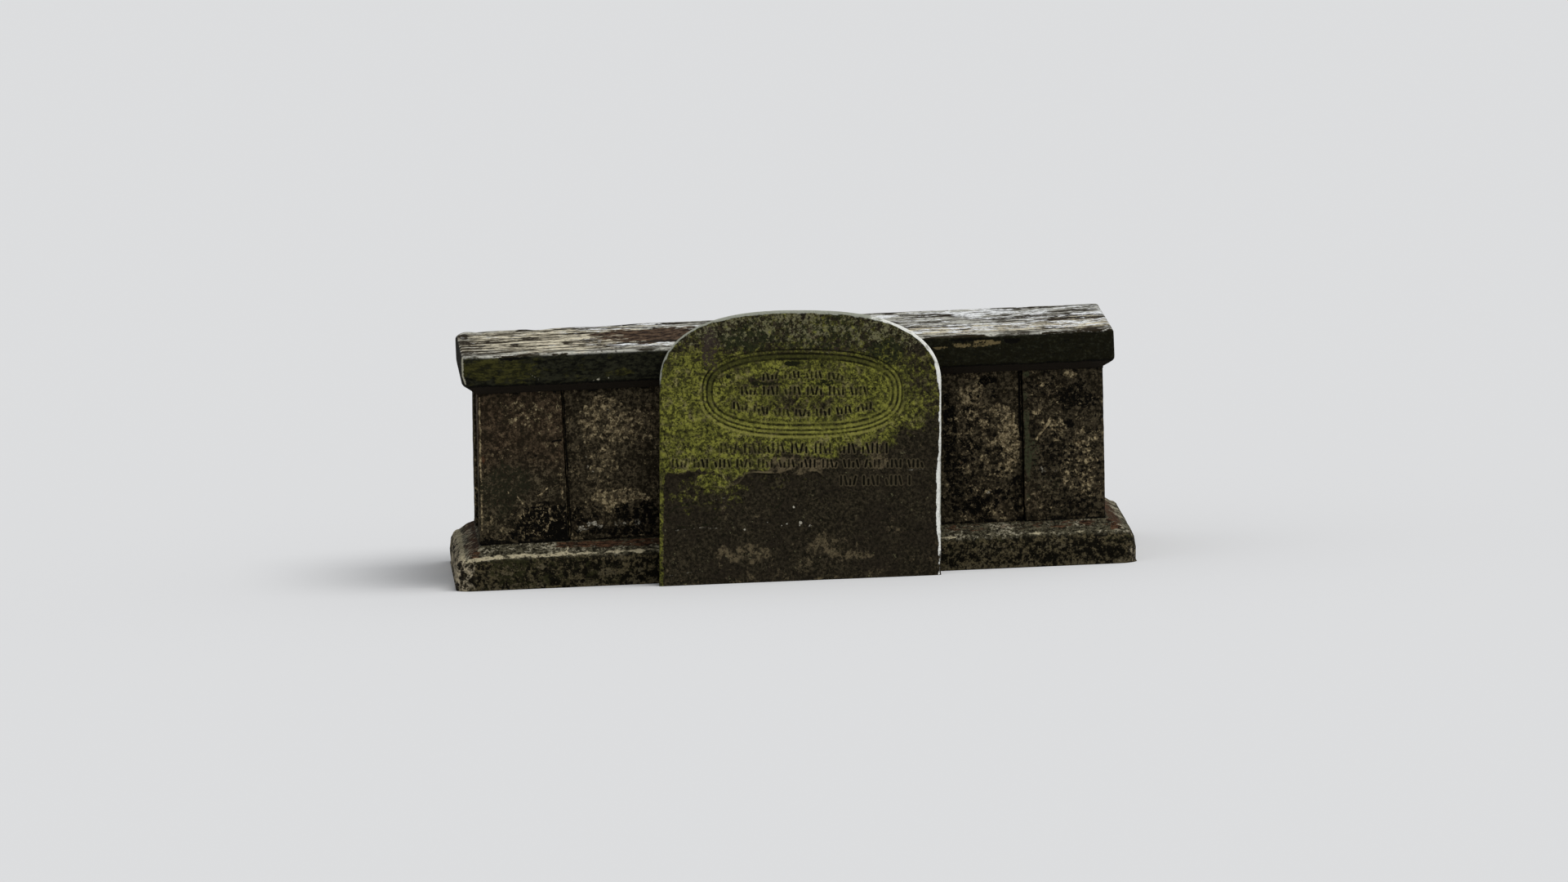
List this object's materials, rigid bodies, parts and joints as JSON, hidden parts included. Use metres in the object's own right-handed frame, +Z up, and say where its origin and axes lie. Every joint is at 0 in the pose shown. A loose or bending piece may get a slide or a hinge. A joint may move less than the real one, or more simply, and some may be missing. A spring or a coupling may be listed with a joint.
{
  "type": "box tomb",
  "caption": "Weathered sandstone box tomb: profiled base slab, recessed chest panels between corner piers, moulded lid slab, round-headed gravestone leaning on its front.",
  "frame": {"origin": "centre of the base slab's flat underside, at the level where the tomb meets the ground", "axes": "+X along the tomb towards its right end, +Z up, the front with the gravestone faces -Y"},
  "size_m": [2.102, 1.0653, 0.8277],
  "materials": {
    "plinth_stone": "grey-brown weathered sandstone, green film on the nose, leaf litter colour on the slope",
    "ledger_stone": "rain-washed pale grey-beige sandstone on top, dark olive growth on the fascia",
    "chest_stone": "dark soot-brown sandstone with beige lichen mottling",
    "mossy_stone": "brown sandstone under olive-green algae and moss, bare and flaked below"
  },
  "bodies": {
    "root": {"plinth": "plinth_stone", "ledger": "ledger_stone", "pier_front_left": "chest_stone", "pier_front_right": "chest_stone", "pier_back_left": "chest_stone", "pier_back_right": "chest_stone", "panel_front": "chest_stone", "panel_back": "chest_stone", "panel_end_left": "chest_stone", "panel_end_right": "chest_stone", "headstone": "mossy_stone"}
  },
  "joints": []
}
